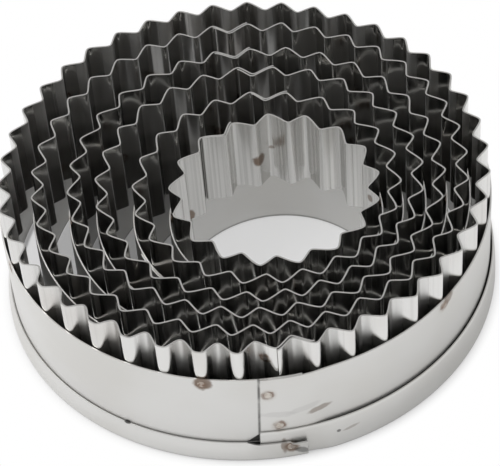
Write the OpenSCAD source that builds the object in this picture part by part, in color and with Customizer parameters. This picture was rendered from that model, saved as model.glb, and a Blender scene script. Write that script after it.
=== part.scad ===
// A nest of six round fluted cutters, standing on their hems with the
// cutting edges up, each leaning on the one around it.

/* [Sizes] */
// Cutting diameter of the largest cutter, across the crests of its flutes
largest_d = 90; // [84:1:100]
// How much smaller the second cutter is than the largest
step_80 = 10; // [9:0.5:12]
// How much smaller the third cutter is than the second
step_70 = 11; // [9:0.5:12]
// How much smaller the fourth cutter is than the third
step_60 = 9; // [8.5:0.5:12]
// How much smaller the fifth cutter is than the fourth
step_50 = 11; // [9:0.5:12]
// How much smaller the smallest cutter is than the fifth
step_40 = 10.5; // [9:0.5:12]

/* [Heights] */
// Height of a cutter from the hem to the cutting edge
cutter_h = 28; // [26:0.5:40]
// Height of the fluted strip, down from the cutting edge
blade_h = 16.25; // [12:0.25:22]
// How far the flutes stand above the top edge of the band
blade_out = 6.7; // [4:0.1:9]

/* [Sheet] */
// Thickness of the steel sheet
sheet_t = 0.3; // [0.2:0.05:0.4]
// Depth of a flute from crest to valley, sheet included
flute_depth = 2.6; // [2:0.1:3]
// Flutes around the largest cutter
flutes_90 = 42; // [36:1:46]
// Flutes around the second cutter
flutes_80 = 37; // [32:1:41]
// Flutes around the third cutter
flutes_70 = 31; // [28:1:36]
// Flutes around the fourth cutter
flutes_60 = 27; // [24:1:31]
// Flutes around the fifth cutter
flutes_50 = 22; // [19:1:25]
// Flutes around the smallest cutter
flutes_40 = 17; // [15:1:20]

/* [Hem] */
// Height of the hem to the left of the seam, and all round on the smaller cutters
hem_h = 4.6; // [3:0.1:5.5]
// Height of the wider hem to the right of the seam on the largest cutter
wide_hem_h = 7.4; // [6:0.1:9]
// Gap inside the largest cutter's hem, which is left open
open_gap = 0.8; // [0.7:0.05:1.2]
// Gap inside the smaller cutters' hems, which are pressed flat
pressed_gap = 0.1; // [0.05:0.05:0.3]

/* [Seam] */
// Length around the band over which its two ends lap
lap_l = 8.5; // [6:0.5:14]
// Diameter of a spot weld
weld_d = 2; // [1.4:0.1:2.4]
// Height to which a spot weld stands out of the sheet
weld_proud = 0.05; // [0.03:0.01:0.1]
// How far down from the band's top edge the spot welds of the flutes lie
weld_drop = 1.3; // [1.2:0.1:3]
// How far down from the band's top edge the upper spot weld of the lap lies
seam_weld_drop = 4; // [2:0.1:8]
// Room between a spot weld of the lap and the edge of the hem
weld_room = 0.3; // [0.1:0.1:1]

/* [Nest] */
// Room that is left where one cutter lifts past the flutes of the next
lift_clear = 0.15; // [0.1:0.05:0.4]
// Room between a flute's crest and the band around it
crest_gap = 0.02; // [0.01:0.01:0.05]
// Room between the two lapped ends of a band or a fluted strip
lap_gap = 0.02; // [0.01:0.01:0.05]

/* [Hidden] */
$fn = 96;

// Cutters are numbered from the largest, 0, to the smallest, 5.
steps = [0, step_80, step_70, step_60, step_50, step_40];
flutes = [flutes_90, flutes_80, flutes_70, flutes_60, flutes_50, flutes_40];
hem_gaps = [open_gap, pressed_gap, pressed_gap, pressed_gap, pressed_gap, pressed_gap];

// Which way each cutter has slid until it leans on the one around it
leans = [0, -44, -56.5, -59, -52, -40];
// Where the seam of each band stands, in degrees from +X
seams = [-91.2, 100, 150, 60, 200, 120];
// Where a crest of each fluted strip stands, at the start of its lap
crests = [-85.86, 86.99, 88.14, 80.91, 76.87, 110.75];

// Shape of a flute: points around one, how sharply its crest is folded, and on each strip how far
// from one crest to the next its valley stands
flute_points = 8;
fold = 0.88;
valley_shares = [0.45, 0.56, 0.43, 0.59, 0.59, 0.415];
// Corner radius of the hem's fold, on the outside
hem_fold_r = 0.3;
fold_points = 4;
// Spot welds around a fluted strip, and where the first lies on each, in spaces between two welds
weld_count = 6;
first_welds = [0.7, 0.5, 0.5, 0.22, 0.5, 0.06];
// How far around the lap its upper and lower spot welds lie, and the one through the hem
seam_weld_share = [0.23, 0.42];
hem_weld_share = 0.62;
// Angle over which a lapped end steps out of the band's round, and the room
// between the hidden end and that step
step_a = 1;
end_room_a = 0.5;
step_inset = 0.2;

band_h = cutter_h - blade_out;
blade_z = cutter_h - blade_h;
seam_weld_z = [band_h - seam_weld_drop, wide_hem_h + weld_d / 2 + weld_room];
hem_weld_z = hem_h - weld_d / 2 - weld_room;

function cut_r(i) = i == 0 ? largest_d / 2 : cut_r(i - 1) - steps[i] / 2;
function band_r(i) = cut_r(i) + crest_gap;
function hem_r(i) = band_r(i) + 2 * sheet_t + hem_gaps[i];
function lean_room(i) = cut_r(i - 1) - flute_depth - hem_r(i) - lift_clear;
function centre(i) = i == 0 ? [0, 0]
    : centre(i - 1) + lean_room(i) * [cos(leans[i]), sin(leans[i])];
function lap_a(i) = lap_l / band_r(i) * 180 / PI;

// Middle of the fluted sheet: a wave that swings evenly between two radii,
// with straight flanks and round crests.
wave_depth = flute_depth - sheet_t;
function wave(p) = asin(fold * cos(p)) / asin(fold);
function shorter_side(i) = min(valley_shares[i], 1 - valley_shares[i]);
function flank_slope(i) = wave_depth / 2 * flutes[i] * fold / (asin(fold) * PI / 180)
    / (cut_r(i) - flute_depth / 2) / (2 * shorter_side(i));
function lap_in(i) = lap_gap + sheet_t * sqrt(1 + pow(flank_slope(i), 2));
// The last flute but one steps in by lap_in, so the last one lies inside the first.
function step_in(i, turns) = lap_in(i) * min(1, max(0, turns - flutes[i] + 1));
function mid_r(i, turns) =
    cut_r(i) - sheet_t / 2 - wave_depth / 2 * (1 - wave(turns * 360)) - step_in(i, turns);
// Half a turn of the wave goes down to the valley, which stands off the middle of the flute.
function flutes_along(i, turns) =
    let (whole = floor(turns), part = turns - whole, share = valley_shares[i])
        whole + (part < 0.5 ? 2 * share * part : 1 - 2 * (1 - share) * (1 - part));
function mid_at(i, turns) =
    let (a = flutes_along(i, turns) * 360 / flutes[i]) mid_r(i, turns) * [cos(a), sin(a)];
function side_at(i, turns, side) =
    let (
        near = 0.01,
        along = mid_at(i, turns + near) - mid_at(i, turns - near),
        out = [along[1], -along[0]] / norm(along)
    ) mid_at(i, turns) + side * sheet_t / 2 * out;

// A band with a J-shaped section: a wall with a hem folded up outside it.
module hemmed_section(i) {
    r = band_r(i);
    w = 2 * sheet_t + hem_gaps[i];
    inner_fold = [for (k = [0:fold_points])
        let (a = 180 + k * 90 / fold_points)
            [r + hem_fold_r * (1 + cos(a)), hem_fold_r * (1 + sin(a))]];
    outer_fold = [for (k = [0:fold_points])
        let (a = 270 + k * 90 / fold_points)
            [r + w - hem_fold_r * (1 - cos(a)), hem_fold_r * (1 + sin(a))]];
    polygon(concat(
        [[r + sheet_t, band_h], [r, band_h]], inner_fold, outer_fold,
        [[r + w, hem_h], [r + w - sheet_t, hem_h], [r + w - sheet_t, sheet_t], [r + sheet_t, sheet_t]]
    ));
}

module ring_arc(r_in, r_out, z0, z1, from_a, arc_a) {
    rotate([0, 0, from_a]) rotate_extrude(angle = arc_a)
        translate([r_in, z0]) square([r_out - r_in, z1 - z0]);
}

// The band from the end of its lap round to the hidden end under the lap
module hemmed_arc(i) {
    rotate([0, 0, lap_a(i)]) rotate_extrude(angle = 360 - end_room_a) hemmed_section(i);
}

// The outer end of the band, lapped over the hidden one and joined to the wall beyond it
module lapped_end(i, z0) {
    r = band_r(i);
    ring_arc(r + sheet_t + lap_gap, r + 2 * sheet_t + lap_gap, z0, band_h, 0, lap_a(i) + step_a);
    ring_arc(r + sheet_t / 2, r + 3 / 2 * sheet_t + lap_gap, z0 + step_inset, band_h - step_inset,
        lap_a(i) + step_a / 4, step_a / 2);
}

module largest_collar() {
    leg_r = hem_r(0) - sheet_t;
    lapped_leg_r = band_r(0) + 2 * sheet_t + 4 * lap_gap;
    beyond_a = lap_a(0) + step_a;
    hemmed_arc(0);
    lapped_end(0, sheet_t / 2);
    // Upper edge of the wide hem: inside the short hem over the lap, then on top of it
    ring_arc(lapped_leg_r, lapped_leg_r + sheet_t, sheet_t / 2, wide_hem_h, 0, beyond_a);
    ring_arc(leg_r + lap_gap, leg_r + sheet_t - lap_gap, hem_h - sheet_t, wide_hem_h,
        beyond_a, 180 - beyond_a);
}

module smaller_collar(i) {
    hemmed_arc(i);
    lapped_end(i, hem_h + lap_gap);
}

module collar(i) {
    color("gainsboro") rotate([0, 0, seams[i]])
        if (i == 0) largest_collar(); else smaller_collar(i);
}

module blade(i) {
    last = (flutes[i] + 1) * flute_points;
    outer = [for (k = [0:last]) side_at(i, k / flute_points, 1)];
    inner = [for (k = [last:-1:0]) side_at(i, k / flute_points, -1)];
    color("silver") rotate([0, 0, crests[i]]) translate([0, 0, blade_z])
        linear_extrude(blade_h) polygon(concat(outer, inner));
}

// One spot weld: a disc that goes through the sheets, from r_in out to r_out
module weld(r_in, r_out, a, z) {
    rotate([0, 0, a]) translate([r_in, 0, z]) rotate([0, 90, 0])
        cylinder(h = r_out - r_in, d = weld_d, $fn = 32);
}

module blade_welds(i) {
    outside = band_r(i) + sheet_t + weld_proud;
    color("tan") rotate([0, 0, crests[i]])
        for (k = [0:weld_count - 1])
            weld(cut_r(i) - sheet_t / 2, outside,
                round((k + first_welds[i]) * flutes[i] / weld_count) * 360 / flutes[i], band_h - weld_drop);
}

module seam_welds(i) {
    inside = band_r(i) + sheet_t / 2;
    outside = band_r(i) + 2 * sheet_t + lap_gap + weld_proud;
    color("tan") rotate([0, 0, seams[i]]) {
        for (k = [0:len(seam_weld_z) - 1])
            weld(inside, outside, seam_weld_share[k] * lap_a(i), seam_weld_z[k]);
        if (i == 0)
            weld(hem_r(i) - 1.5 * sheet_t, hem_r(i) + weld_proud, hem_weld_share * lap_a(i), hem_weld_z);
    }
}

module in_nest(i) {
    translate(centre(i)) children();
}

in_nest(0) collar(0);  // collar_90
in_nest(0) blade(0);  // blade_90
in_nest(0) blade_welds(0);  // blade_welds_90
in_nest(0) seam_welds(0);  // seam_welds_90
in_nest(1) collar(1);  // collar_80
in_nest(1) blade(1);  // blade_80
in_nest(1) blade_welds(1);  // blade_welds_80
in_nest(1) seam_welds(1);  // seam_welds_80
in_nest(2) collar(2);  // collar_70
in_nest(2) blade(2);  // blade_70
in_nest(2) blade_welds(2);  // blade_welds_70
in_nest(2) seam_welds(2);  // seam_welds_70
in_nest(3) collar(3);  // collar_60
in_nest(3) blade(3);  // blade_60
in_nest(3) blade_welds(3);  // blade_welds_60
in_nest(3) seam_welds(3);  // seam_welds_60
in_nest(4) collar(4);  // collar_50
in_nest(4) blade(4);  // blade_50
in_nest(4) blade_welds(4);  // blade_welds_50
in_nest(4) seam_welds(4);  // seam_welds_50
in_nest(5) collar(5);  // collar_40
in_nest(5) blade(5);  // blade_40
in_nest(5) blade_welds(5);  // blade_welds_40
in_nest(5) seam_welds(5);  // seam_welds_40
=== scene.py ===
"""A nest of six round fluted cutters: a crimped cutting strip spot welded inside a hemmed band."""

import math

import bpy
import numpy as np
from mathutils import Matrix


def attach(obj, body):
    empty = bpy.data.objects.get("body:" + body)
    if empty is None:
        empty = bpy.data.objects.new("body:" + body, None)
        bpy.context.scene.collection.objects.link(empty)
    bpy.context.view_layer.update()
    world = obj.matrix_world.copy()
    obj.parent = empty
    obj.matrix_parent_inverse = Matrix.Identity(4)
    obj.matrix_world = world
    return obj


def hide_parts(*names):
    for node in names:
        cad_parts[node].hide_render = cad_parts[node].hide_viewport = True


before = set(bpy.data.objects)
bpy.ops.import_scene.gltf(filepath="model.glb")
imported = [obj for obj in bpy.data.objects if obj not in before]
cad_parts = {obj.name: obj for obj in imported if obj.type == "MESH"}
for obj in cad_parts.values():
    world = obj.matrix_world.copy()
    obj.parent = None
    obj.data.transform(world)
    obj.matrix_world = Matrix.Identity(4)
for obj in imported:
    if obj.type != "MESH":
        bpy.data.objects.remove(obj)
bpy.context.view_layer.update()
MM = 0.001


# The camera looks at the nest from the front and above, through a long lens held a little askew.
# It is turned about the middle of the picture, so it needs no shift.
FOCAL_PX = 2200
PICTURE_PX = 500
SENSOR = 36
aim = np.array([0.32, -17.22, 28])
distance = 389.1
elevation = math.radians(46.83)
roll = math.radians(4.85)

camera_right = np.array([1, 0, 0])
camera_up = np.array([0, math.sin(elevation), math.cos(elevation)])
camera_back = np.array([0, -math.cos(elevation), math.sin(elevation)])
camera_axes = np.column_stack([
    math.cos(roll) * camera_right - math.sin(roll) * camera_up,
    math.sin(roll) * camera_right + math.cos(roll) * camera_up,
    camera_back,
])
camera_place = np.eye(4)
camera_place[:3, :3] = camera_axes
camera_place[:3, 3] = (aim + distance * camera_back) * MM

camera_data = bpy.data.cameras.new("camera")
camera_data.sensor_width = SENSOR
camera_data.lens = FOCAL_PX / PICTURE_PX * SENSOR
camera_data.clip_start = 0.01
camera = bpy.data.objects.new("camera", camera_data)
camera.matrix_world = camera_place.T.tolist()
bpy.context.scene.collection.objects.link(camera)
bpy.context.scene.camera = camera


# The fluted strips: sheet steel crimped between toothed rollers, sheared to width and bent into a
# ring. The last flute lies inside the first, and the upper edge is the one that cuts.
SHEET = 0.3
FLUTE_DEPTH = 2.6
CUTTER_H = 28
BLADE_H = 16.25
CREST_GAP = 0.02
LAP_GAP = 0.02
LIFT_CLEAR = 0.15
names = ["90", "80", "70", "60", "50", "40"]
SMALLEST = len(names) - 1
flutes = [42, 37, 31, 27, 22, 17]
crest_angles = [-85.86, 86.99, 88.14, 80.91, 76.87, 110.75]
valley_shares = [0.45, 0.56, 0.43, 0.59, 0.59, 0.415]
cut_radii = [45, 40, 34.5, 30, 24.5, 19.25]
lean_angles = [0, -44, -56.5, -59, -52, -40]
hem_gaps = [0.8, 0.1, 0.1, 0.1, 0.1, 0.1]
band_radii = [r + CREST_GAP for r in cut_radii]
hem_radii = [r + 2 * SHEET + gap for r, gap in zip(band_radii, hem_gaps)]
centres = [np.zeros(2)]
for i in range(1, len(names)):
    lean = math.radians(lean_angles[i])
    room = cut_radii[i - 1] - FLUTE_DEPTH - hem_radii[i] - LIFT_CLEAR
    centres.append(centres[-1] + room * np.array([math.cos(lean), math.sin(lean)]))

# How sharply the flutes are folded. At the front left the largest strip has flat crests instead: a
# softer fold, cut off at a share of its height. FLAT_IN and FLAT_OUT are the angles from +X over
# which they come in and go out.
FOLD = 0.88
SOFT_FOLD = 0.3
CREST_CUT = 0.8
CUT_SHARPNESS = 9
FLAT_IN = (185, 210)
FLAT_OUT = (260, 272)
# How much shallower a flute may be, in mm, and how far out of place, as a share of a flute
UNEVEN = 0.12
SKEW = 0.03
FLUTE_STEPS = 24
CHAMFER = 0.04
SHARP_ANGLE = 35
draw = np.random.default_rng(90)


def closed_mesh(name, grids, sharp_angle):
    """Closed bodies from sections: grids[body, station, point] is a place in mm, and the points go
    round each section. Neighbouring stations are joined by four-sided faces and both ends are
    capped."""
    number = np.arange(grids[..., 0].size).reshape(grids.shape[:3])
    turned = np.roll(number, -1, axis=2)
    corners = [number[:, :-1], turned[:, :-1], turned[:, 1:], number[:, 1:]]
    sides = np.stack(corners, axis=-1).reshape(-1, 4)
    caps = number[:, 0, ::-1].tolist() + number[:, -1].tolist()
    mesh = bpy.data.meshes.new(name)
    mesh.from_pydata((grids.reshape(-1, 3) * MM).tolist(), [], sides.tolist() + caps)
    mesh.shade_smooth()
    mesh.set_sharp_from_angle(angle=math.radians(sharp_angle))
    mesh.validate()
    return mesh


def carry(mesh, numbers):
    """Stores numbers on the points of a mesh, for its material: one array for each name."""
    for name, values in numbers.items():
        mesh.attributes.new(name, "FLOAT", "POINT").data.foreach_set("value", values.ravel())


def show(name, mesh, cutter, finish, node=None):
    """Puts a mesh in the scene as a piece that rides on its cutter and stands for a CAD node."""
    piece = bpy.data.objects.new(name, mesh)
    bpy.context.scene.collection.objects.link(piece)
    mesh.materials.append(finish)
    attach(piece, f"cutter_{names[cutter]}")
    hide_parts(node or name)


def flute_wave(turns):
    """Swings evenly between 1 at a crest and -1 at a valley: the arcsine of a cosine that is cut
    back by FOLD, so that the flanks are nearly flat and the crests stay round."""
    return np.arcsin(FOLD * np.cos(2 * np.pi * turns)) / np.arcsin(FOLD)


def flattened_wave(turns):
    """The same swing with wide flat crests and round valleys: a softer wave w gives way to the cut
    c as -ln(exp(-k w) + exp(-k c)) / k, where k is CUT_SHARPNESS, and is stretched back to its full
    height."""
    soft = np.arcsin(SOFT_FOLD * np.cos(2 * np.pi * turns)) / np.arcsin(SOFT_FOLD)
    k, cut = CUT_SHARPNESS, math.exp(-CUT_SHARPNESS * CREST_CUT)
    cut_back, top, bottom = (-np.log(np.exp(-k * w) + cut) / k for w in (soft, 1, -1))
    return 2 * (cut_back - bottom) / (top - bottom) - 1


def smooth(x, low, high):
    """Rises smoothly from 0 at low to 1 at high."""
    s = np.clip((x - low) / (high - low), 0, 1)
    return s * s * (3 - 2 * s)


def flutes_along(i, turns):
    """Flutes from the first crest at a number of turns of the wave. The first half of a turn goes
    down to the valley, which stands valley_shares[i] of the way to the next crest."""
    whole = np.floor(turns)
    part = turns - whole
    share = valley_shares[i]
    return whole + np.where(part < 0.5, 2 * share * part, 1 - 2 * (1 - share) * (1 - part))


def fluted_strip(i):
    """Crimped strip of cutter i. Its middle line is a polar curve: the cutting radius less half a
    sheet, less half the wave's depth times one minus the wave, less a step in by the sheet's
    thickness along the flank over the last flute but one. The sides lie half a sheet off it along
    its normal. Each flute is a little shallower or skewed, by a seeded random amount. Also gives
    how far each point is on the way from a crest, 0, to a valley, 1."""
    n = flutes[i]
    turns = np.linspace(0, n + 1, (n + 1) * FLUTE_STEPS + 1)
    depth = FLUTE_DEPTH - SHEET
    wave = flute_wave(turns)
    if i == 0:
        bearing = (crest_angles[0] + 360 * turns / n) % 360
        flat = smooth(bearing, *FLAT_IN) * (1 - smooth(bearing, *FLAT_OUT))
        wave += flat * (flattened_wave(turns) - wave)
    shorter_side = min(valley_shares[i], 1 - valley_shares[i])
    steepest = np.abs(np.gradient(wave, turns)).max() / (2 * shorter_side)
    slope = depth / 2 * steepest * n / (2 * np.pi) / (cut_radii[i] - FLUTE_DEPTH / 2)
    lap_in = LAP_GAP + SHEET * math.sqrt(1 + slope ** 2)
    step_in = lap_in * np.clip(turns - n + 1, 0, 1)
    number = np.arange(n + 3)
    crest_in = np.interp(turns, number - 0.5, draw.uniform(0, UNEVEN, n + 3)) * (1 + wave) / 2
    valley_out = np.interp(turns, number - 1, draw.uniform(0, UNEVEN, n + 3)) * (1 - wave) / 2
    radius = cut_radii[i] - SHEET / 2 - depth / 2 * (1 - wave) - step_in - crest_in + valley_out
    skew = np.interp(turns, number - 0.5, draw.uniform(-SKEW, SKEW, n + 3))
    angle = np.radians(crest_angles[i]) + 2 * np.pi * (flutes_along(i, turns) + skew) / n
    middle = np.stack([radius * np.cos(angle), radius * np.sin(angle)], axis=-1)
    along = np.gradient(middle, axis=0)
    along /= np.linalg.norm(along, axis=1, keepdims=True)
    out = np.stack([along[:, 1], -along[:, 0]], axis=-1)
    low, high = CUTTER_H - BLADE_H, CUTTER_H
    half = SHEET / 2
    rise = np.linspace(low + CHAMFER, high - CHAMFER, 4)
    height = np.concatenate([[low], rise, [high]])
    side = np.concatenate([[half - CHAMFER], np.full(rise.size, half), [half - CHAMFER]])
    height = np.concatenate([height, height[::-1]])
    side = np.concatenate([side, -side[::-1]])
    place = middle[:, None, :] + side[None, :, None] * out[:, None, :] + centres[i]
    heights = np.broadcast_to(height[None, :, None], place.shape[:2] + (1,))
    in_valley = np.broadcast_to((1 - wave[:, None]) / 2, place.shape[:2])
    return np.concatenate([place, heights], axis=-1), in_valley


class Field:
    """A number that varies over a surface: a node's output. Arithmetic on it adds Math nodes."""

    def __init__(self, finish, socket):
        self.finish = finish
        self.socket = socket

    def __add__(self, other):
        return self.finish.maths("ADD", self, other)

    def __sub__(self, other):
        return self.finish.maths("SUBTRACT", self, other)

    def __rsub__(self, other):
        return self.finish.maths("SUBTRACT", other, self)

    def __mul__(self, other):
        return self.finish.maths("MULTIPLY", self, other)

    def __truediv__(self, other):
        return self.finish.maths("DIVIDE", self, other)

    __radd__ = __add__
    __rmul__ = __mul__


class Finish:
    """A material that is put together from nodes around its own Principled shader."""

    def __init__(self, name, **numbers):
        self.material = bpy.data.materials.new(name)
        self.material.use_nodes = True
        self.tree = self.material.node_tree
        self.shader = self.tree.nodes["Principled BSDF"]
        for socket, value in numbers.items():
            self.shader.inputs[socket.replace("_", " ")].default_value = value

    def set(self, socket, value):
        """Links a field to a socket, or writes a plain value on it."""
        if isinstance(value, Field):
            self.tree.links.new(value.socket, socket)
        else:
            socket.default_value = value

    def node(self, kind, settings=None, inputs=None, output=0):
        """One node: its settings are made first, then the values or links of its sockets."""
        made = self.tree.nodes.new(kind)
        for setting, value in (settings or {}).items():
            setattr(made, setting, value)
        for socket, value in (inputs or {}).items():
            self.set(made.inputs[socket], value)
        return Field(self, made.outputs[output])

    def shade(self, socket, value):
        """Links a field to a socket of the shader, or writes a plain value on it."""
        self.set(self.shader.inputs[socket], value)

    def carried(self, name):
        """A number that the points of the mesh carry."""
        return self.node("ShaderNodeAttribute", {"attribute_name": name}, output="Fac")

    def place(self):
        """Place on the object, in metres."""
        return self.node("ShaderNodeTexCoord", output="Object")

    def parts(self, place):
        """The three coordinates of a place, in mm."""
        split = self.node("ShaderNodeSeparateXYZ", None, {"Vector": place})
        return [Field(self, socket) / MM for socket in split.socket.node.outputs]

    def maths(self, operation, *values):
        """Any Math node: the field that its operation makes of fields and plain numbers."""
        return self.node("ShaderNodeMath", {"operation": operation}, dict(enumerate(values)))

    def noise(self, place, scale, detail=2.0):
        """Cloudy noise from 0 to 1, stretched by a scale along each axis, in waves per metre."""
        stretched = self.node("ShaderNodeVectorMath", {"operation": "MULTIPLY"},
                              {0: place, 1: scale})
        return self.node("ShaderNodeTexNoise", None,
                         {"Vector": stretched, "Scale": 1.0, "Detail": detail})

    def between(self, value, low, high, to_low=0.0, to_high=1.0):
        """Follows a value smoothly from to_low at low to to_high at high."""
        return self.node("ShaderNodeMapRange", {"interpolation_type": "SMOOTHSTEP"},
                         {0: value, 1: low, 2: high, 3: to_low, 4: to_high})

    def blend(self, share, colour, other):
        """Colour where share is 0, and the other colour where it is 1."""
        return self.node("ShaderNodeMix", {"data_type": "RGBA"},
                         {0: share, 6: colour, 7: other}, output=2)

    def nearest(self, place, points):
        """Distance to the nearest of some points, in mm."""
        least = None
        for point in points:
            away = self.node("ShaderNodeVectorMath", {"operation": "DISTANCE"},
                             {0: place, 1: tuple(point * MM)}, output="Value")
            least = away if least is None else self.maths("MINIMUM", least, away)
        return least / MM

    def bump(self, height, strength):
        """Makes the surface slightly uneven, by BUMP_DEPTH where the field rises from 0 to 1."""
        inputs = {"Strength": strength, "Distance": BUMP_DEPTH * MM, "Height": height}
        self.shade("Normal", self.node("ShaderNodeBump", None, inputs))


STEEL = (0.72, 0.715, 0.70, 1)
# Dull steel for the smallest strip's streaks, and also painted shade on the strips inside the bands
DULL_AND_SHADED = (0.5, 0.495, 0.48, 1)
STREAK = (0.34, 0.33, 0.315, 1)
SHEARED = (0.42, 0.415, 0.40, 1)
TARNISH = (0.45, 0.39, 0.34, 1)
SCORCH = (0.19, 0.12, 0.085, 1)
BROWN = (0.2, 0.145, 0.11, 1)
BUMP_DEPTH = 0.01
EDGE_H = 0.06
BLADE_OUT = 6.7
band_top = CUTTER_H - BLADE_OUT
# The spot welds of the crests lie in a ring under the band's top edge. The first stands some way
# into the first sixth of the flutes.
WELD_DROP = 1.3
WELDS = 6
weld_z = band_top - WELD_DROP
first_welds = [0.7, 0.5, 0.5, 0.22, 0.5, 0.06]
# Heat mark on the front of the largest strip: radius, angle and height
FRONT_MARK = (43.6, -89.0, 24.6)
# Stains inside the smallest strip: radius, angle, height, half their length and width in mm, and
# how strong they are
strip_stains = [
    (16.9, 96.8, 18.5, 1.8, 1.6, 0.95),
    (18.4, 149.5, 12.8, 1.1, 1.6, 0.9),
    (17.3, -10.1, 26.2, 0.8, 1.1, 0.75),
    (18.8, 88.6, 19.6, 0.8, 0.5, 0.6),
    (18.3, 81.3, 22.0, 0.6, 1.3, 0.7),
]


def on_cutter(i, radius, degrees, z):
    """Place of a point of cutter i from its radius, its angle from +X and its height, in mm."""
    a = math.radians(degrees)
    return np.array([centres[i][0] + radius * math.cos(a), centres[i][1] + radius * math.sin(a), z])


def crest_weld_angles(i):
    """Angles of the crests that are welded. They divide the flutes evenly, each rounded to a whole
    crest."""
    return [crest_angles[i] + round((k + first_welds[i]) * flutes[i] / WELDS) * 360 / flutes[i]
            for k in range(WELDS)]


def scorched(finish, place, points, colour):
    """Heat tint around spot welds: a ragged brown ring about 2 mm across, darker in patches, round
    a paler middle, with a faint glow that fades out over the sheet."""
    away = finish.nearest(place, points)
    ragged = away + finish.noise(place, (1100, 1100, 1100), 3.0) * 1.1 - 0.55
    patchy = finish.between(finish.noise(place, (700, 700, 700)), 0.35, 0.62, 0.25, 1.0)
    ring = finish.between(ragged, 0.45, 0.75) * finish.between(ragged, 0.9, 1.35, 1, 0) * patchy
    glow = finish.between(away, 0.7, 1.9, 0.5, 0)
    return finish.blend(ring * 0.8, finish.blend(glow, colour, TARNISH), SCORCH)


def stain(finish, place, i, radius, degrees, z, half_length, half_width, lean=0):
    """1 inside a ragged oval on cutter i, and 0 outside it. It lies along the strip, and leans up
    to the right by an angle in degrees."""
    middle = tuple(on_cutter(i, radius, degrees, z) * MM)
    turned = (0, -math.radians(lean), math.radians(degrees + 90))
    size = (half_length * MM, half_length * MM, half_width * MM)
    oval = finish.node("ShaderNodeMapping", {"vector_type": "TEXTURE"},
                       {"Vector": place, "Location": middle, "Rotation": turned, "Scale": size})
    away = finish.node("ShaderNodeVectorMath", {"operation": "LENGTH"}, {0: oval}, output="Value")
    ragged = away + finish.noise(place, (900, 900, 900), 3.0) * 0.6 - 0.3
    return finish.between(ragged, 0.6, 1.0, 1, 0)


def fluted_steel(i):
    """Bright rolled steel with streaks down the flutes, heavier inside the band, where the steel is
    also painted darker as shade, and a sheared cutting edge. The valleys are scuffed, most of all
    on the largest strip. The smallest strip is streaked all over with dull steel and shows its
    stains, and the others show the heat of their welds."""
    finish = Finish(f"fluted_steel_{names[i]}")
    place = finish.place()
    height = finish.parts(place)[2]
    lines = finish.noise(place, (2200, 2200, 20), 3.0)
    streaks = finish.noise(place, (1500, 1500, 8), 4.0)
    if i == SMALLEST:
        colour = finish.blend(finish.between(streaks, 0.4, 0.65, 0.2, 0.8), STEEL, DULL_AND_SHADED)
        for *oval, strength in strip_stains:
            colour = finish.blend(stain(finish, place, i, *oval) * strength, colour, BROWN)
    else:
        # Painted shade: the strip is darker below the band's top, inside the band.
        colour = finish.blend(finish.between(height, band_top - 2, band_top + 0.5), DULL_AND_SHADED, STEEL)
        clouds = finish.noise(place, (90, 90, 60))
        colour = finish.blend(finish.between(clouds, 0.45, 0.75, 0, 0.3), colour, TARNISH)
        streaky = finish.between(height, band_top - 3, band_top + 0.5, 0.7, 0.12)
        colour = finish.blend(finish.between(streaks, 0.5, 0.72) * streaky, colour, STREAK)
        welds = [on_cutter(i, cut_radii[i], a, weld_z) for a in crest_weld_angles(i)]
        if i == 0:
            welds.append(on_cutter(i, *FRONT_MARK))
        colour = scorched(finish, place, welds, colour)
    edge = finish.between(height, CUTTER_H - EDGE_H, CUTTER_H - EDGE_H / 2)
    polish = 0.17 if i == SMALLEST else 0.12
    scuffed = finish.between(finish.carried("in_valley"), 0.35, 0.9, 0, 0.25 if i == 0 else 0.05)
    rubbed = finish.between(streaks, 0.5, 0.75, 0, 0.12)
    finish.shade("Base Color", finish.blend(edge, colour, SHEARED))
    finish.shade("Metallic", 1.0 - edge * 0.7)
    finish.shade("Roughness", polish + lines * 0.06 + rubbed + scuffed + edge * 0.5)
    finish.bump(lines, 0.1)
    return finish.material


for i, size in enumerate(names):
    grid, in_valley = fluted_strip(i)
    strip = closed_mesh(f"blade_{size}", grid[None], SHARP_ANGLE)
    carry(strip, {"in_valley": in_valley})
    show(f"fluted_strip_{size}", strip, i, fluted_steel(i), f"blade_{size}")


# The bands: a plain strip of the same steel, bent into a ring and lapped at a seam. Its lower edge
# is folded up outside as a hem, which is open and wide to the right of the largest one's seam.
seam_angles = [-91.2, 100, 150, 60, 200, 120]
LAP_L = 8.5
HEM_H = 4.6
WIDE_HEM_H = 7.4
lap_angles = [math.degrees(LAP_L / r) for r in band_radii]
# Degrees left free before a hidden end, degrees that the largest band's end is off square, and
# degrees after its lap over which an outer end steps in
END_ROOM = 0.5
END_SLANT = 1.1
STEP = 6
# Degrees from the seam over which the largest hem gets narrow and over which it opens for the lap,
# and degrees before the end of the lap over which its lip springs open
NARROWS = (130, 240)
OPENS = (356.5, 359.8)
FLARE = (4.4, 3.7)
# Room between the largest band's lapped walls, and how much its hem is closed at the outer end and
# opened at the hidden one, so that the first goes inside the second
CLOSE_LAP = 0.004
HEM_PLAY = 0.72
# Room under a lip that is pressed flat and under the largest one, how much more there is where that
# hem is wide and where it springs open, and the room at which the inside of a hem is painted fully
# dark as shade
PRESSED_LIP = 0.05
CLOSE_LIP = 0.06
WIDE_LIP = 0.28
SPRUNG_LIP = 0.45
OPEN_LIP = 0.3
# How much lower the lip is where it springs open, and how wavy the largest lip is. The higher the
# power, the nearer to its lip a leg bends.
SPRUNG_DROP = 0.25
LIP_WAVE = 0.06
LEG_POWER = 2.2
# How wavy the walls of the largest band and of the smaller bands are
LARGEST_WAVE = 0.03
SMALLER_WAVE = 0.02


def waviness(a, seed):
    """Slight unevenness of a rolled band: a seeded sum of sines of the angle, at most about 1."""
    random = np.random.default_rng(seed)
    total = np.zeros_like(a)
    for waves in range(3, 12):
        size = random.uniform(-1, 1) / waves
        total += size * np.sin(waves * np.radians(a) + random.uniform(0, 2 * np.pi))
    return total


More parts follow.
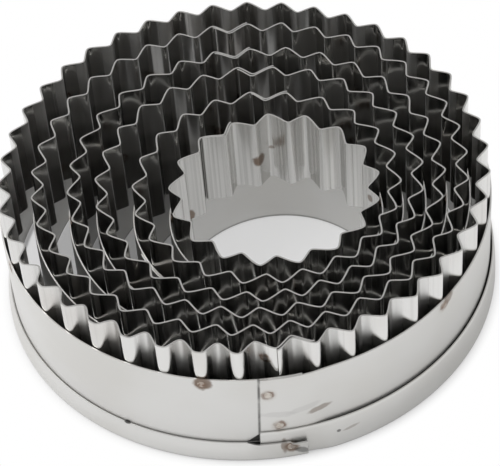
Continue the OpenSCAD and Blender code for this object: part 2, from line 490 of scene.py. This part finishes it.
def unevenness(a, seed, start):
    """Waviness that comes in after an angle from the seam, and goes out before the hidden end."""
    return waviness(a, seed) * smooth(a, start, 40) * (1 - smooth(a, 320, 355))


def hemmed_band(i, a, wall_out, fold_gap, lip_gap, hem_h, lift, top=band_top):
    """Band of cutter i at the angles a from its seam. The middle line of its section goes down the
    wall, round a half circle and up the leg to the lip, and both faces lie half a sheet off it
    along its normal. wall_out moves the wall out, fold_gap and lip_gap are the room inside the hem
    at its fold and at its lip, hem_h and top are the heights of the lip and of the wall, and lift
    is that of the fold's underside. The room goes from the one to the other with a power of the way
    up. Also gives the numbers that its material reads: the distance below the lip, how open the hem
    is on the faces inside it, and 1 on the leg."""
    wall_out, fold_gap, lip_gap, hem_h, lift, top = (
        np.broadcast_to(value, a.shape)[:, None]
        for value in (wall_out, fold_gap, lip_gap, hem_h, lift, top))
    wall_r = band_radii[i] + SHEET / 2 + wall_out
    fold_r = (fold_gap + SHEET) / 2
    fold_z = lift + SHEET / 2 + fold_r
    down = np.concatenate([[0, CHAMFER / 20], np.linspace(0.04, 1, 10)])[None, :]
    wall = np.stack([wall_r + 0 * down, top - (top - fold_z) * down], axis=-1)
    turn = np.linspace(0, np.pi, 10)[None, 1:]
    fold = np.stack([wall_r + fold_r * (1 - np.cos(turn)), fold_z - fold_r * np.sin(turn)], axis=-1)
    up = np.concatenate([np.linspace(0, 1, 9)[1:-1], [1 - 0.01, 1]])[None, :]
    leg_out = lip_gap + (fold_gap - lip_gap) * (1 - up ** LEG_POWER) + SHEET
    leg = np.stack([wall_r + leg_out, fold_z + (hem_h - fold_z) * up], axis=-1)
    grid = close_section(i, a, np.concatenate([wall, fold, leg], axis=1))
    point = np.arange(grid.shape[1])
    open_hem = np.clip(lip_gap / OPEN_LIP, 0, 1) * (point < point.size // 2)
    on_leg = np.abs(point - (point.size - 1) / 2) < up.shape[1] / 2
    below_lip = hem_h - grid[..., 2]
    return grid, {"below_lip": below_lip, "open_hem": open_hem, "leg": on_leg + 0 * open_hem}


def close_section(i, a, line):
    """Gives a section's middle line (radius, height) its thickness, chamfers its two edges, and
    carries it round at the angles a from the seam of cutter i. The largest band's end is cut a
    little off square."""
    along = np.gradient(line, axis=1)
    along /= np.linalg.norm(along, axis=2, keepdims=True)
    out = np.stack([-along[..., 1], along[..., 0]], axis=-1)
    half = np.full(line.shape[1], SHEET / 2)
    half[[0, -1]] -= CHAMFER
    faces = [line + half[None, :, None] * out, (line - half[None, :, None] * out)[:, ::-1]]
    section = np.concatenate(faces, axis=1)
    slant = (END_SLANT if i == 0 else 0) * (1 - smooth(a, 0, lap_angles[i]))
    off_square = slant[:, None] * (section[..., 1] - HEM_H) / band_top
    angle = np.radians(a[:, None] + seam_angles[i] + off_square)
    return np.stack([centres[i][0] + section[..., 0] * np.cos(angle),
                     centres[i][1] + section[..., 0] * np.sin(angle), section[..., 1]], axis=-1)


def largest_band():
    """The largest band in one sweep, from its outer end at the seam round to its hidden end. Over
    the lap the outer end's leg lies inside the hidden end's, which wraps over it. outer is 1 over
    the lap, wide is 1 where the hem is wide, opened is 1 where it is opened for the lap, and flare
    is 1 where its lip springs open at the end."""
    lap = lap_angles[0]
    a = np.concatenate([np.linspace(0, lap, 16)[:-1],
                        np.linspace(lap, lap + STEP, 7)[:-1],
                        np.linspace(lap + STEP, 350, 330)[:-1],
                        np.linspace(350, 360 + lap - END_ROOM, 50)])
    outer = 1 - smooth(a, lap, lap + STEP)
    opened = smooth(a, *OPENS)
    wide = 1 - smooth(a, *NARROWS)
    flare = smooth(a, 360 + lap - FLARE[0], 360 + lap - FLARE[1])
    wall_out = outer * (SHEET + CLOSE_LAP) + LARGEST_WAVE * unevenness(a, 3, lap)
    fold_gap = hem_gaps[0] - outer * HEM_PLAY
    lip_gap = CLOSE_LIP + WIDE_LIP * wide * (1 - outer) + HEM_PLAY * opened + SPRUNG_LIP * flare
    hem_h = HEM_H + (WIDE_HEM_H - HEM_H) * wide - SPRUNG_DROP * flare + LIP_WAVE * waviness(a, 5)
    return hemmed_band(0, a, wall_out, fold_gap, lip_gap, hem_h, outer * (SHEET + LAP_GAP))


def smaller_band(i):
    """A smaller band: hemmed from the end of its lap round to the hidden end, with the hem pressed
    flat. Where the lapped end steps in, there is only the hem below it."""
    lap, full = lap_angles[i], lap_angles[i] + STEP
    a = np.concatenate([np.linspace(lap, full - 0.01, 8),
                        np.linspace(full, 360 + lap - END_ROOM, 240)])
    wall_out = SMALLER_WAVE * unevenness(a, 10 + i, full)
    top = np.where(a < full, HEM_H, band_top)
    return hemmed_band(i, a, wall_out, hem_gaps[i], PRESSED_LIP, HEM_H, 0, top)


def lapped_plate(i):
    """The outer end of a smaller band, which has no hem. It steps in to the wall that it is part
    of."""
    a = np.linspace(0, lap_angles[i] + STEP, 24)
    outer = 1 - smooth(a, lap_angles[i], lap_angles[i] + STEP)
    down = np.array([0, 0.003, 0.2, 0.4, 0.6, 0.8, 0.997, 1])[None, :]
    radius = band_radii[i] + SHEET / 2 + (outer * (SHEET + LAP_GAP))[:, None] + 0 * down
    height = band_top - (band_top - HEM_H - LAP_GAP) * down + 0 * radius
    return close_section(i, a, np.stack([radius, height], axis=-1))


WELD_D = 2.0
SEAM_WELD_DROP = 4
WELD_ROOM = 0.3
# Heights of the welds of a lap and of the one through the hem, and how far around the lap they lie
SEAM_WELDS = [(band_top - SEAM_WELD_DROP, 0.23), (WIDE_HEM_H + WELD_D / 2 + WELD_ROOM, 0.42)]
HEM_WELD = (HEM_H - WELD_D / 2 - WELD_ROOM, 0.62)


def seam_weld_places(i):
    """Middles of the spot welds of the band's lap, on its outer face."""
    places = [on_cutter(i, band_radii[i] + 2 * SHEET, seam_angles[i] + share * lap_angles[i], z)
              for z, share in SEAM_WELDS]
    if i == 0:
        z, share = HEM_WELD
        places.append(on_cutter(i, hem_radii[i], seam_angles[i] + share * lap_angles[i], z))
    return places


WARM_STEEL = (0.68, 0.67, 0.645, 1)
GREY = (0.45, 0.44, 0.43, 1)
# Near black, for grime and for painted shade in the hems, at the foot and down the seam
SHADE_AND_GRIME = (0.02, 0.019, 0.017, 1)
# The largest band's seam: how far right it lies at the floor, its lean as a share of the height,
# and the length and slope of the painted shade in the notch where the hem to its left meets it
SEAM_X = -1.245
SEAM_LEAN = 0.0412
NOTCH_L = 2.2
NOTCH_RISE = 0.9
# Stains of the largest band: radius, angle, height, half their length and width in mm, lean in
# degrees, colour and strength. Those without a colour are grime.
band_stains = [
    (45.62, -77.6, 11.2, 2.7, 0.8, 11, BROWN, 0.6),
    (45.62, -86.6, 11.7, 4.0, 0.9, -6, GREY, 0.25),
    (45.62, -81.0, 12.3, 3.8, 0.9, 14, GREY, 0.25),
    (45.32, -102.7, 20.3, 2.0, 2.0, 0, BROWN, 0.9),
    (45.32, -41.4, 20.9, 1.7, 1.5, 0, BROWN, 0.7),
    (46.42, -86.0, 3.7, 0.8, 2.3, 0, BROWN, 0.7),
    (46.42, -84.4, 3.1, 1.7, 1.5, -20, BROWN, 0.6),
    (46.42, -82.3, 2.0, 1.7, 1.0, -25, None, 0.6),
    (46.42, -73.7, 4.4, 0.5, 0.45, 0, None, 0.7),
    (46.42, -70.7, 4.3, 1.9, 0.4, 10, BROWN, 0.4),
    (45.6, -122.1, 4.6, 0.7, 0.4, 0, None, 0.9),
]


def seam_shade(finish, place, below_lip):
    """Painted shade of the largest band's seam, on its front: a broken dark line down the seam's
    gap as far as the lip, and a three-cornered notch of shade that rises to the seam from the lip
    on its left."""
    across, depth, height = finish.parts(place)
    past_seam = across - height * SEAM_LEAN - SEAM_X
    off_seam = finish.maths("ABSOLUTE", past_seam)
    line = finish.between(off_seam, 0.08, 0.36, 0.65, 0) * finish.between(below_lip, -0.2, 0, 1, 0)
    broken = finish.between(finish.noise(place, (300, 300, 500)), 0.3, 0.6, 0.5, 1)
    over_notch = 0.0 - below_lip - (past_seam + NOTCH_L) * NOTCH_RISE
    notch = finish.between(over_notch, -0.2, 0.1, 1, 0) * finish.between(past_seam, -0.1, 0.2, 1, 0)
    notch = notch * finish.between(below_lip, -0.05, 0.1, 1, 0)
    return finish.maths("MAXIMUM", line * broken, notch) * finish.between(depth, -40, -38, 1, 0)


def band_steel(i):
    """Cold rolled steel with a satin face: fine scratches round the band, very faint clouds, heat
    tint at the welds, painted shade inside the open hem and at the foot, and a sheared lip. The
    largest band also has stains, some of them grime, and painted shade down its seam."""
    finish = Finish(f"band_steel_{names[i]}")
    place = finish.place()
    height = finish.parts(place)[2]
    below_lip = finish.carried("below_lip")
    scratches = finish.noise(place, (60, 60, 5000), 3.0)
    clouds = finish.noise(place, (45, 45, 60), 2.0)
    colour = finish.blend(finish.between(clouds, 0.35, 0.75), STEEL, WARM_STEEL)
    welds = [on_cutter(i, band_radii[i] + SHEET, a, weld_z) for a in crest_weld_angles(i)]
    if i < SMALLEST:
        welds += seam_weld_places(i)
    colour = scorched(finish, place, welds, colour)
    # Painted shade: inside the hem below the lip, more where it is open, and darker towards the
    # band's foot.
    hem_shade = finish.carried("open_hem") * finish.between(below_lip, 0.05, 0.5)
    shade_and_grime = finish.maths("MAXIMUM", hem_shade, finish.between(height, 0.2, 0.8, 0.5, 0))
    if i == 0:
        for *oval, tint, strength in band_stains:
            mask = stain(finish, place, i, *oval) * strength
            if tint:
                colour = finish.blend(mask, colour, tint)
            else:
                shade_and_grime = finish.maths("MAXIMUM", shade_and_grime, mask)
        # Painted shade down the seam and in the notch beside it.
        shade_and_grime = finish.maths("MAXIMUM", shade_and_grime, seam_shade(finish, place, below_lip))
    lip = finish.carried("leg") * finish.between(below_lip, 0.05, 0.12, 1, 0)
    low_lip = lip * finish.between(height, HEM_H + 0.6, WIDE_HEM_H - 1, 0.7, 0)
    colour = finish.blend(low_lip, colour, SHEARED)
    finish.shade("Base Color", finish.blend(shade_and_grime, colour, SHADE_AND_GRIME))
    finish.shade("Metallic", 0.75 - shade_and_grime * 0.7)
    finish.shade("Roughness", 0.34 + scratches * 0.12 + shade_and_grime * 0.3)
    finish.bump(scratches, 0.15)
    return finish.material


for i, size in enumerate(names):
    grid, numbers = largest_band() if i == 0 else smaller_band(i)
    band = closed_mesh(f"collar_{size}", grid[None], SHARP_ANGLE)
    carry(band, numbers)
    finish = band_steel(i)
    show(f"hemmed_band_{size}", band, i, finish, f"collar_{size}")
    if i > 0:
        plate = closed_mesh(f"lap_{size}", lapped_plate(i)[None], SHARP_ANGLE)
        show(f"lapped_end_{size}", plate, i, finish, f"collar_{size}")


# The spot welds: shallow dished marks, about 2 mm across, where two sheets were melted together
# between copper electrodes. They are browned by the heat.
WELD_PROUD = 0.05
MARK_SHARE = 0.72
MARK_STEPS = 32
MARK_SHARP_ANGLE = 60
MELTED = (0.62, 0.58, 0.53, 1)


def weld_mark(centre, outward, inside, outside):
    """A round spot weld: a profile of radius and height, turned about the axis outward. Its outer
    face has a raised rim and a shallow dish, and its inner face is flat."""
    radii = WELD_D / 2 * MARK_SHARE * np.array([0.02, 0.75, 1.0, 1.0, 0.92, 0.8, 0.62, 0.35, 0.02])
    heights = np.array([inside, inside, inside, outside - 0.05, outside - 0.01, outside,
                        outside - 0.03, outside - 0.04, outside - 0.04])
    around = np.linspace(0, 2 * np.pi, MARK_STEPS, endpoint=False)
    side = np.array([-outward[1], outward[0], 0])
    up = np.array([0, 0, 1])
    ring = np.cos(around)[:, None] * side + np.sin(around)[:, None] * up
    return centre + heights[:, None, None] * outward + radii[:, None, None] * ring[None]


def weld_group(name, i, marks, finish):
    """One mesh of all the spot welds of a kind on cutter i."""
    mesh = closed_mesh(name, np.stack(marks), MARK_SHARP_ANGLE)
    show(name + "_marks", mesh, i, finish, name)


def outward_at(degrees):
    """Unit vector away from a cutter's axis."""
    a = math.radians(degrees)
    return np.array([math.cos(a), math.sin(a), 0])


def weld_steel(name, colour, burnt):
    """Steel with ragged patches of a browner colour."""
    finish = Finish(name, Metallic=1.0, Roughness=0.35)
    patches = finish.between(finish.noise(finish.place(), (1200, 1200, 1200), 3.0), 0.35, 0.65)
    finish.shade("Base Color", finish.blend(patches, colour, burnt))
    return finish.material


seam_mark = weld_steel("seam_mark", MELTED, TARNISH)
crest_mark = weld_steel("crest_mark", TARNISH, SCORCH)

for i, size in enumerate(names):
    marks = [weld_mark(on_cutter(i, 0, 0, weld_z), outward_at(a), cut_radii[i] - SHEET / 2,
                       band_radii[i] + SHEET + WELD_PROUD) for a in crest_weld_angles(i)]
    weld_group(f"blade_welds_{size}", i, marks, crest_mark)
    marks = []
    for z, share in SEAM_WELDS:
        a = seam_angles[i] + share * lap_angles[i]
        marks.append(weld_mark(on_cutter(i, 0, 0, z), outward_at(a), band_radii[i] + SHEET / 2,
                               band_radii[i] + 2 * SHEET + LAP_GAP + WELD_PROUD))
    if i == 0:
        z, share = HEM_WELD
        a = seam_angles[i] + share * lap_angles[i]
        marks.append(weld_mark(on_cutter(i, 0, 0, z), outward_at(a), hem_radii[i] - 1.5 * SHEET,
                               hem_radii[i] + WELD_PROUD))
    weld_group(f"seam_welds_{size}", i, marks, seam_mark)


# The floor is white paper that shows a faint shadow. Away from the nest it also glows white to the
# camera and in the steel. In the nest it glows less, cutter by cutter, which is painted light in
# the gaps, and where the steel mirrors it more than once its paper is painted darker as shade and
# it glows least of all.
FLOOR = 3.0
PAPER = (0.9, 0.9, 0.9, 1)
SHADED_PAPER = (0.25, 0.25, 0.25, 1)
# How much the floor glows white to the camera and in the steel: outside the nest, then inside each
# cutter in turn, where the glow is painted light
white_seen = [1, 0.62, 0.3, 0.12, 0.12, 0.12, 0.5]
white_mirrored = [0.96, 0.3, 0.2, 0.08, 0.08, 0.08, 0.4]
# Distances from the nest's middle over which its floor ends and the shade at its foot fades out.
# The steel mirrors a wider shade, which has a middle of its own.
NEST_EDGE = (44, 45)
FOOT_SHADE = (45.4, 48.4)
MIRRORED_SHADE = (44.5, 56)
SHADE_MIDDLE = np.array([3, -2])

floor_mesh = bpy.data.meshes.new("floor")
corners = [(-FLOOR, -FLOOR, 0), (FLOOR, -FLOOR, 0), (FLOOR, FLOOR, 0), (-FLOOR, FLOOR, 0)]
floor_mesh.from_pydata(corners, [], [(0, 1, 2, 3)])
floor = bpy.data.objects.new("floor", floor_mesh)
bpy.context.scene.collection.objects.link(floor)
paper = Finish("white_paper", Roughness=0.9, Specular_IOR_Level=0.0)
glow = paper.node("ShaderNodeEmission", None, {"Color": (1, 1, 1, 1), "Strength": 1.0})
rays = {kind: paper.node("ShaderNodeLightPath", output=kind)
        for kind in ("Is Camera Ray", "Is Glossy Ray", "Glossy Depth")}


def away_from(point):
    """Distance on the floor from a point given in mm, in mm."""
    return paper.nearest(paper.place(), [np.append(point, 0)])


def inside(i):
    """1 on the floor inside cutter i, and 0 outside it."""
    return paper.between(away_from(centres[i]), cut_radii[i] - 0.2, cut_radii[i] + 0.6, 1, 0)


def white_share(levels):
    """How much of the floor shows as white: the first number outside the nest, and after it one for
    the floor inside each cutter in turn."""
    share = levels[0]
    for i in range(len(names)):
        share = share + inside(i) * (levels[i + 1] - levels[i])
    return share


from_nest = away_from(centres[0])
in_nest = paper.between(from_nest, *NEST_EDGE, 1, 0)
in_gaps = in_nest - inside(SMALLEST)
# Painted shade: the paper is darker, and glows less, where the steel mirrors it more than once.
deep_shade = paper.between(rays["Glossy Depth"], 1, 2) * (in_gaps + (1.0 - in_nest) * 0.7)
paper.shade("Base Color", paper.blend(deep_shade, PAPER, SHADED_PAPER))
seen = white_share(white_seen)
foot = paper.between(from_nest, *FOOT_SHADE, 0.35, 1)
seen = paper.maths("MAXIMUM", seen * foot, seen * in_nest)
mirrored = white_share(white_mirrored) * (1.0 - deep_shade * 0.9)
shade = paper.between(away_from(SHADE_MIDDLE), *MIRRORED_SHADE)
mirrored = mirrored * paper.maths("MAXIMUM", in_nest, shade)
share = rays["Is Camera Ray"] * seen + rays["Is Glossy Ray"] * mirrored
mixed = paper.node("ShaderNodeMixShader", None,
                   {0: share, 1: Field(paper, paper.shader.outputs[0]), 2: glow})
paper.set(paper.tree.nodes["Material Output"].inputs["Surface"], mixed)
floor_mesh.materials.append(paper.material)


# The light: a white sky all round, and one broad white lamp above and to the left. The steel
# mirrors both, and the floor as well.
WORLD_LEVEL = 0.7
LAMP_WATTS = 1.7
world = bpy.data.worlds.new("studio")
world.use_nodes = True
world.node_tree.nodes["Background"].inputs["Color"].default_value = (1, 1, 1, 1)
world.node_tree.nodes["Background"].inputs["Strength"].default_value = WORLD_LEVEL
bpy.context.scene.world = world
lamp_data = bpy.data.lights.new("window", "AREA")
lamp_data.shape = "RECTANGLE"
lamp_data.size = 0.5
lamp_data.size_y = 0.4
lamp_data.energy = LAMP_WATTS
lamp = bpy.data.objects.new("window", lamp_data)
bpy.context.scene.collection.objects.link(lamp)
lamp_from = np.array([-0.45, 0.05, 0.50])
back = lamp_from / np.linalg.norm(lamp_from)
across = np.cross([0, 0, 1], back)
across /= np.linalg.norm(across)
lamp_place = np.eye(4)
lamp_place[:3, :3] = np.column_stack([across, np.cross(back, across), back])
lamp_place[:3, 3] = lamp_from
lamp.matrix_world = lamp_place.T.tolist()

bpy.context.scene.view_settings.view_transform = "Standard"
